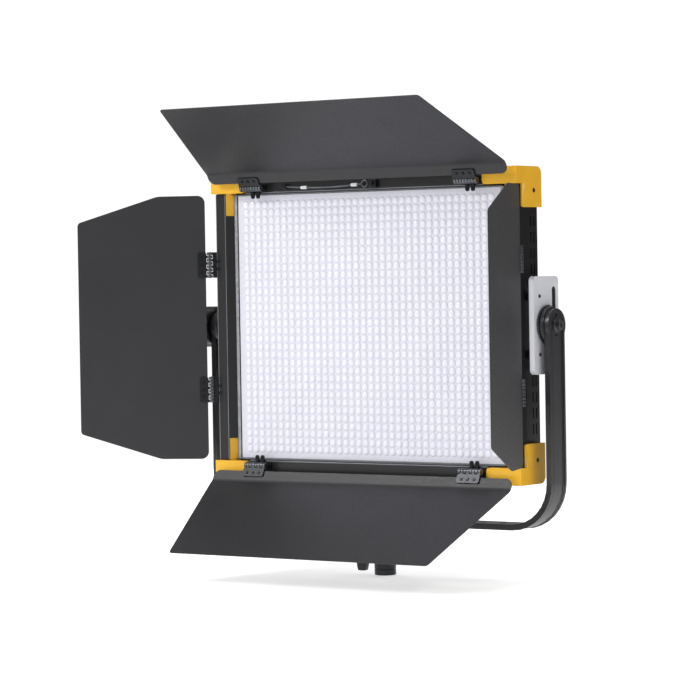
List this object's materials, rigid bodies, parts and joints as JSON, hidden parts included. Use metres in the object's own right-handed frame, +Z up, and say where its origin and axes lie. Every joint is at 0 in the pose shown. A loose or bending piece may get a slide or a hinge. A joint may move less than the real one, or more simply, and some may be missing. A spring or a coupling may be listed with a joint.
{
  "type": "led panel light",
  "caption": "Rectangular LED panel light head with lens sheet, corner guards and hinged barn-door leaves, tilting in a U-shaped yoke on a stand spigot.",
  "frame": {"origin": "centre of the stand spigot's foot, below the middle of the yoke", "axes": "+Z up along the spigot; the light shines along -Y; +X to the right of a person who looks along +Y at the lens"},
  "size_m": [0.7088, 0.3076, 0.5988],
  "materials": {
    "black_paint": "satin black powder coat",
    "black_steel": "black oxide",
    "yellow_plastic": "fine satin moulding",
    "white_lens": "clear moulded lens sheet over a white board",
    "board_white": "white solder mask",
    "bare_aluminium": "extruded",
    "grey_aluminium": "bead blasted",
    "black_plastic": "fine texture",
    "bright_steel": "nickel plated",
    "display_glass": "smoked window",
    "board_green": "green solder mask"
  },
  "bodies": {
    "stand": {"yoke": "black_paint", "stand_spigot": "bright_steel", "pivot_bolt": "bright_steel"},
    "head": {"housing_frame": "black_paint", "front_bezel": "black_plastic", "corner_guard_top_left": "yellow_plastic", "corner_guard_top_right": "yellow_plastic", "corner_guard_bottom_left": "yellow_plastic", "corner_guard_bottom_right": "yellow_plastic", "lens_panel": "white_lens", "led_board": "board_white", "heat_sink": "bare_aluminium", "rear_cover": "black_paint", "driver_box": "black_paint", "control_panel": "black_plastic", "display_window": "display_glass", "data_in_socket": "black_plastic", "data_out_socket": "black_plastic", "mains_inlet": "black_plastic", "driver_board": "board_green", "fan_frame": "black_plastic", "yoke_plate_left": "grey_aluminium", "yoke_plate_right": "grey_aluminium", "tilt_disc_left": "black_steel", "tilt_disc_right": "black_steel", "door_rail_top": "black_paint", "door_rail_bottom": "black_paint", "door_rail_left": "black_paint", "door_rail_right": "black_paint", "safety_wire": "bright_steel", "door_catch": "black_steel", "left_hinge_base_a": "black_steel", "left_hinge_base_b": "black_steel", "right_hinge_base_a": "black_steel", "right_hinge_base_b": "black_steel", "top_hinge_base_a": "black_steel", "top_hinge_base_b": "black_steel", "bottom_hinge_base_a": "black_steel", "bottom_hinge_base_b": "black_steel"},
    "left_door": {"left_leaf": "black_paint", "left_hinge_plate_a": "black_steel", "left_hinge_plate_b": "black_steel"},
    "right_door": {"right_leaf": "black_paint", "right_hinge_plate_a": "black_steel", "right_hinge_plate_b": "black_steel"},
    "top_door": {"top_leaf": "black_paint", "top_hinge_plate_a": "black_steel", "top_hinge_plate_b": "black_steel"},
    "bottom_door": {"bottom_leaf": "black_paint", "bottom_hinge_plate_a": "black_steel", "bottom_hinge_plate_b": "black_steel"},
    "tilt_knob": {"tilt_knob": "black_plastic"},
    "tee_handle": {"tee_handle": "black_plastic"},
    "dimmer_knob": {"dimmer_knob": "black_plastic"},
    "colour_knob": {"colour_knob": "black_plastic"},
    "menu_button_1": {"menu_button_1": "grey_aluminium"},
    "menu_button_2": {"menu_button_2": "grey_aluminium"},
    "menu_button_3": {"menu_button_3": "grey_aluminium"},
    "power_switch": {"power_switch": "black_plastic"},
    "fan_rotor": {"fan_rotor": "black_plastic"}
  },
  "joints": [
    {"name": "tilt", "type": "hinge", "parent": "stand", "child": "head", "pos_m": [0, 0, 0.32], "axis": [-1, 0, 0], "range_deg": [-8, 90]},
    {"name": "left_door_hinge", "type": "hinge", "parent": "head", "child": "left_door", "pos_m": [-0.241, -0.0467, 0.32], "axis": [0, 0, -1], "range_deg": [-156, 24]},
    {"name": "right_door_hinge", "type": "hinge", "parent": "head", "child": "right_door", "pos_m": [0.241, -0.0467, 0.32], "axis": [0, 0, 1], "range_deg": [-110, 70]},
    {"name": "top_door_hinge", "type": "hinge", "parent": "head", "child": "top_door", "pos_m": [0, -0.0523, 0.5], "axis": [-1, 0, 0], "range_deg": [-119.2, 35]},
    {"name": "bottom_door_hinge", "type": "hinge", "parent": "head", "child": "bottom_door", "pos_m": [0, -0.0523, 0.14], "axis": [1, 0, 0], "range_deg": [-121, 35]},
    {"name": "tilt_knob_turn", "type": "hinge", "parent": "stand", "child": "tilt_knob", "pos_m": [-0.263, 0, 0.32], "axis": [1, 0, 0], "range_deg": [0, 540]},
    {"name": "tee_handle_turn", "type": "hinge", "parent": "stand", "child": "tee_handle", "pos_m": [-0.014, 0, 0.027], "axis": [1, 0, 0], "range_deg": [0, 540]},
    {"name": "dimmer_turn", "type": "hinge", "parent": "head", "child": "dimmer_knob", "pos_m": [-0.006, 0.0783, 0.328], "axis": [0, 1, 0], "continuous": true},
    {"name": "colour_turn", "type": "hinge", "parent": "head", "child": "colour_knob", "pos_m": [0.078, 0.0783, 0.328], "axis": [0, 1, 0], "continuous": true},
    {"name": "switch_rock", "type": "hinge", "parent": "head", "child": "power_switch", "pos_m": [0.066, 0.075, 0.252], "axis": [1, 0, 0], "range_deg": [0, 10]},
    {"name": "fan_spin", "type": "hinge", "parent": "head", "child": "fan_rotor", "pos_m": [-0.078, 0.0677, 0.32], "axis": [0, 1, 0], "continuous": true},
    {"name": "menu_button_1_press", "type": "slide", "parent": "head", "child": "menu_button_1", "axis": [0, -1, 0], "range_m": [0, 0.0015], "stiffness_N_per_m": 300},
    {"name": "menu_button_2_press", "type": "slide", "parent": "head", "child": "menu_button_2", "axis": [0, -1, 0], "range_m": [0, 0.0015], "stiffness_N_per_m": 300},
    {"name": "menu_button_3_press", "type": "slide", "parent": "head", "child": "menu_button_3", "axis": [0, -1, 0], "range_m": [0, 0.0015], "stiffness_N_per_m": 300}
  ]
}
